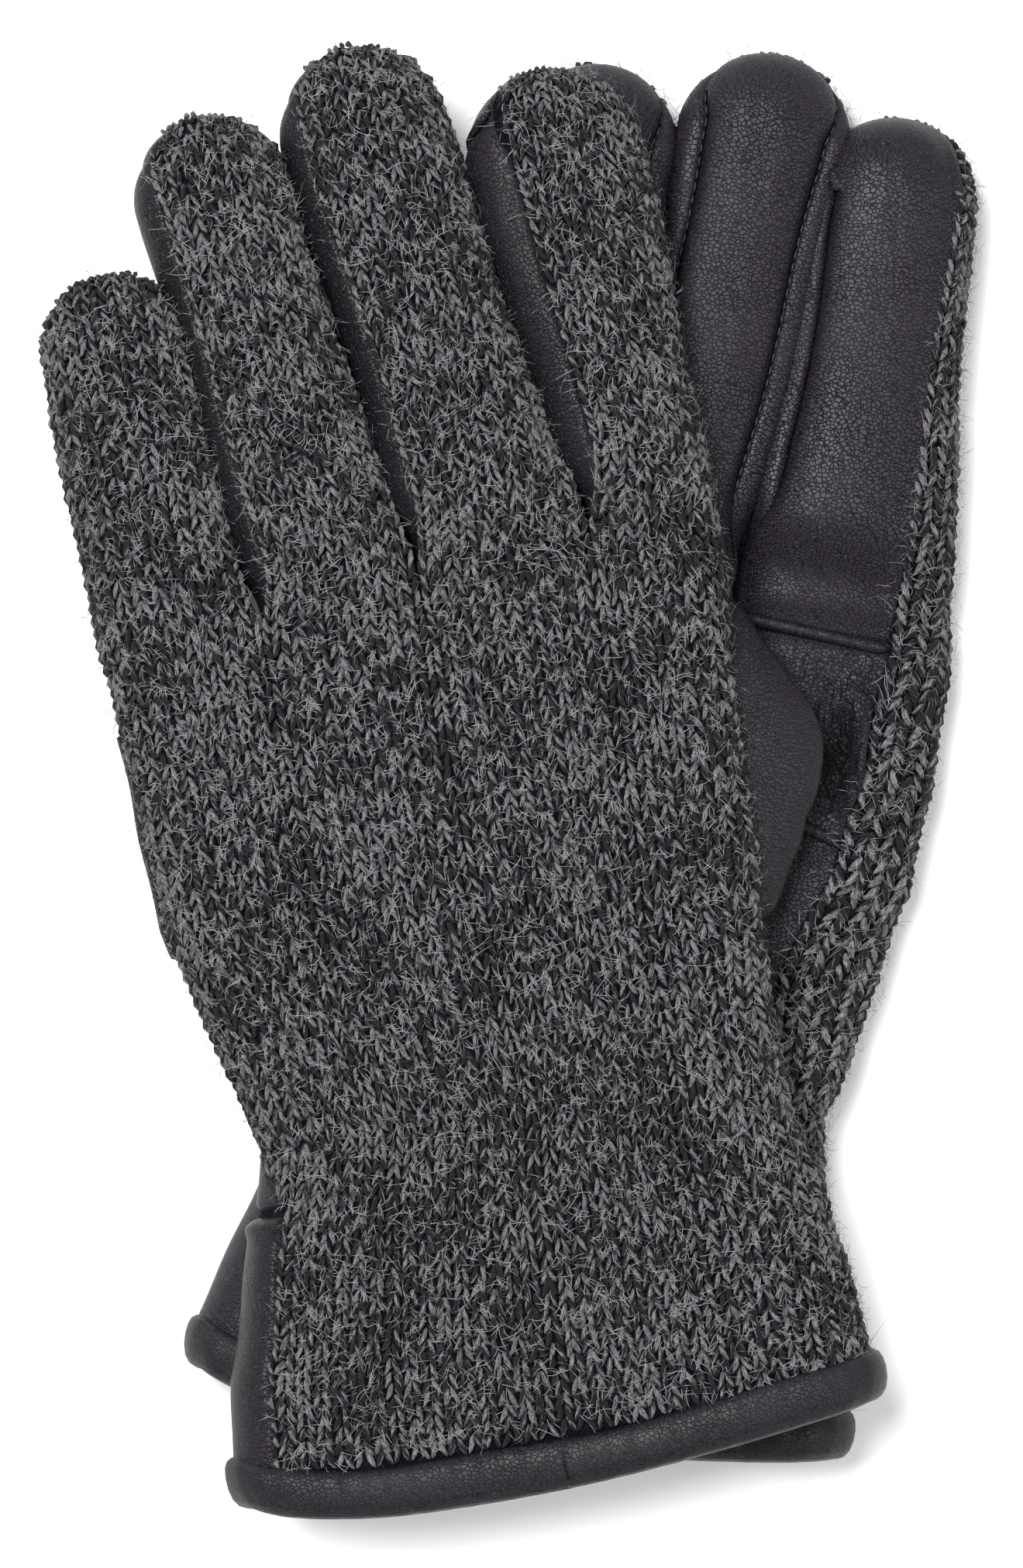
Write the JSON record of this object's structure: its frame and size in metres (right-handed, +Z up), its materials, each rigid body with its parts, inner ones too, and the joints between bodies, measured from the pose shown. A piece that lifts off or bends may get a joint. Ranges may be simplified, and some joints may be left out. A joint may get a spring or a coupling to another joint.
{
  "type": "pair of touchscreen gloves",
  "caption": "Pair of lined winter gloves with knitted backs and leather palms, laid flat with one glove on the other and the thumbs folded over the palms.",
  "frame": {"origin": "middle of the pair's plan outline, on the surface that the lower glove lies on", "axes": "+Y towards the fingertips, +X towards the lower glove's index finger, +Z up out of the surface"},
  "size_m": [0.1642, 0.2548, 0.0329],
  "materials": {
    "knit": "marled grey and black ragg wool, stockinette, fuzzy",
    "leather": "pebbled goatskin, semi-matte, near black",
    "touch_leather": "conductive goatskin, slightly smoother, near black",
    "piping": "rolled leather welt",
    "binding": "smooth folded leather tape",
    "lining": "brushed fleece, black",
    "elastic": "woven elastic"
  },
  "bodies": {
    "right_glove": {"right_knit_back": "knit", "right_cuff_panel": "leather", "right_fourchette_little_ring": "leather", "right_fourchette_ring_middle": "leather", "right_fourchette_middle_index": "leather", "right_index_front": "touch_leather", "right_leather_palm": "leather", "right_palm_patch": "leather", "right_index_welt": "piping", "right_gusset_welt": "piping", "right_hand_lining": "lining", "right_wrist_elastic": "elastic", "right_cuff_binding": "binding", "right_thumb_gusset": "leather"},
    "right_thumb": {"right_thumb_front": "touch_leather", "right_thumb_back": "leather", "right_thumb_lining": "lining"},
    "left_glove": {"left_knit_back": "knit", "left_cuff_panel": "leather", "left_fourchette_little_ring": "leather", "left_fourchette_ring_middle": "leather", "left_fourchette_middle_index": "leather", "left_index_front": "touch_leather", "left_leather_palm": "leather", "left_palm_patch": "leather", "left_index_welt": "piping", "left_gusset_welt": "piping", "left_hand_lining": "lining", "left_wrist_elastic": "elastic", "left_cuff_binding": "binding", "left_thumb_gusset": "leather"},
    "left_thumb": {"left_thumb_front": "touch_leather", "left_thumb_back": "leather", "left_thumb_lining": "lining"}
  },
  "joints": [
    {"name": "left_glove_lift", "type": "slide", "parent": "right_glove", "child": "left_glove", "axis": [0, 0, 1], "range_m": [0, 0.12]},
    {"name": "right_thumb_swing", "type": "hinge", "parent": "right_glove", "child": "right_thumb", "pos_m": [0.04249, 0.00831, 0.0135], "axis": [0, 0, -1], "range_deg": [-25, 30]},
    {"name": "left_thumb_swing", "type": "hinge", "parent": "left_glove", "child": "left_thumb", "pos_m": [0.02285, 0.00765, 0.0194], "axis": [0, 0, -1], "range_deg": [-25, 30]}
  ]
}
